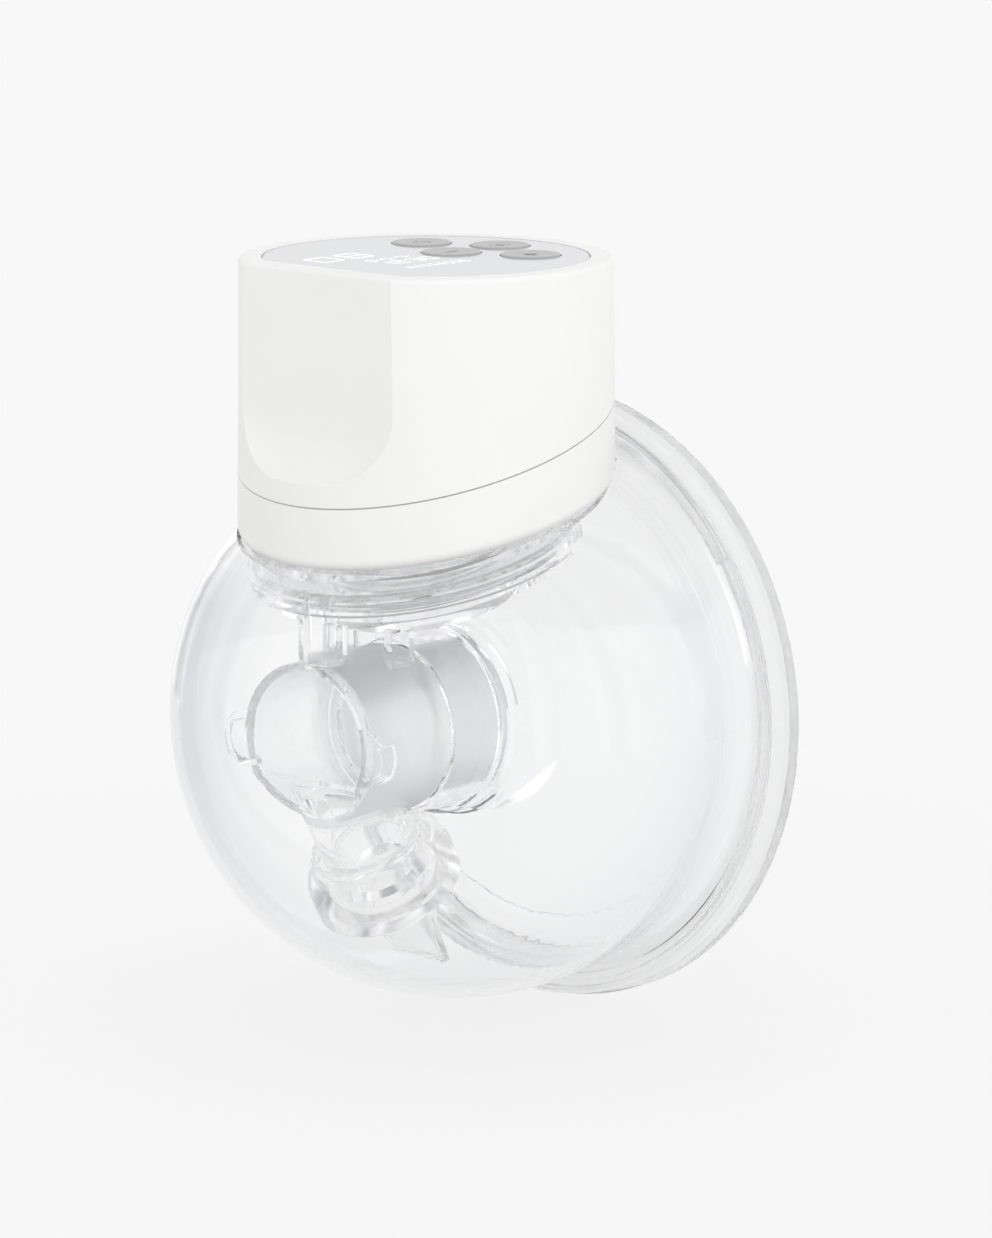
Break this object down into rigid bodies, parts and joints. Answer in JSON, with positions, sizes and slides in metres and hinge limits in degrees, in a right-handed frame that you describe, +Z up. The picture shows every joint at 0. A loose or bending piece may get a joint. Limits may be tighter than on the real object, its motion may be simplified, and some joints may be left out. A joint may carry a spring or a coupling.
{
  "type": "breast pump",
  "caption": "Wearable breast pump: clear dome milk collector with a silicone breast shield behind it and a round white pump unit with buttons on top.",
  "frame": {"origin": "centre of the tunnel mouth on the tunnel axis, where the tunnel opens into the funnel of the breast shield", "axes": "+Y along the tunnel axis towards the wearer, +Z up towards the pump unit, +X to the side, with the front of the dome at -Y"},
  "size_m": [0.1248, 0.0864, 0.1547],
  "materials": {
    "clear_plastic": "clear moulded plastic, high gloss",
    "clear_silicone": "clear soft silicone, satin",
    "white_plastic": "fine satin moulded plastic",
    "lens_grey": "glossy light grey lens",
    "button_grey": "satin grey caps with fine printed symbols",
    "dark_seal": "matt dark gasket",
    "white_silicone": "matt silicone",
    "board_green": "solder-masked board",
    "black_plastic": "moulded black plastic",
    "steel": "plated steel",
    "copper": "enamelled copper winding",
    "magnet": "sintered magnet",
    "battery_wrap": "foil pouch",
    "foam": "closed-cell foam",
    "led": "clear chip package"
  },
  "bodies": {
    "collector": {"milk_collector": "clear_plastic", "linker": "clear_plastic", "neck_seal": "clear_silicone", "suction_diaphragm": "clear_silicone", "duckbill_valve": "clear_silicone"},
    "shield": {"breast_shield": "clear_silicone"},
    "pump_unit": {"upper_housing": "white_plastic", "lower_housing": "white_plastic", "housing_seal": "dark_seal", "display_lens": "lens_grey", "keypad": "white_silicone", "tact_switches": "steel", "control_board": "board_green", "board_screws": "steel", "display_frame": "black_plastic", "display_leds": "led", "usb_socket": "steel", "inner_frame": "black_plastic", "battery_cell": "battery_wrap", "battery_foam": "foam", "housing_screws": "steel", "motor_can": "steel", "motor_end_cap": "black_plastic", "motor_magnets": "magnet", "motor_bushes": "steel", "motor_mounts": "white_silicone", "pump_base": "black_plastic", "wobble_plate": "black_plastic", "pump_diaphragms": "dark_seal", "valve_plate": "black_plastic", "valve_flap": "dark_seal", "pump_cover": "black_plastic", "pump_screws": "steel", "release_yoke": "steel", "release_coil": "copper", "release_spring": "steel", "release_seat": "black_plastic", "air_tee": "black_plastic", "air_hoses": "white_silicone"},
    "rotor": {"motor_shaft": "steel", "motor_armature": "copper", "crank": "black_plastic"},
    "plunger": {"release_plunger": "steel"},
    "button_power": {"button_power": "button_grey"},
    "button_mode": {"button_mode": "button_grey"},
    "button_plus": {"button_plus": "button_grey"},
    "button_minus": {"button_minus": "button_grey"}
  },
  "joints": [
    {"name": "pump_unit_lift", "type": "slide", "parent": "collector", "child": "pump_unit", "axis": [0, -0.2334, 0.9724], "range_m": [0, 0.045]},
    {"name": "shield_pull", "type": "slide", "parent": "collector", "child": "shield", "axis": [0, 1, 0], "range_m": [0, 0.055]},
    {"name": "motor_spin", "type": "hinge", "parent": "pump_unit", "child": "rotor", "pos_m": [0, -0.016, 0.06], "axis": [1, 0, 0], "continuous": true},
    {"name": "release_stroke", "type": "slide", "parent": "pump_unit", "child": "plunger", "axis": [1, 0, 0], "range_m": [0, 0.001], "stiffness_N_per_m": 100, "springref_m": -0.002, "deforming": ["release_spring"]},
    {"name": "button_power_press", "type": "slide", "parent": "pump_unit", "child": "button_power", "axis": [0, 0, -1], "range_m": [0, 0.0005], "stiffness_N_per_m": 400, "springref_m": -0.001},
    {"name": "button_mode_press", "type": "slide", "parent": "pump_unit", "child": "button_mode", "axis": [0, 0, -1], "range_m": [0, 0.0005], "stiffness_N_per_m": 400, "springref_m": -0.001},
    {"name": "button_plus_press", "type": "slide", "parent": "pump_unit", "child": "button_plus", "axis": [0, 0, -1], "range_m": [0, 0.0005], "stiffness_N_per_m": 400, "springref_m": -0.001},
    {"name": "button_minus_press", "type": "slide", "parent": "pump_unit", "child": "button_minus", "axis": [0, 0, -1], "range_m": [0, 0.0005], "stiffness_N_per_m": 400, "springref_m": -0.001}
  ]
}
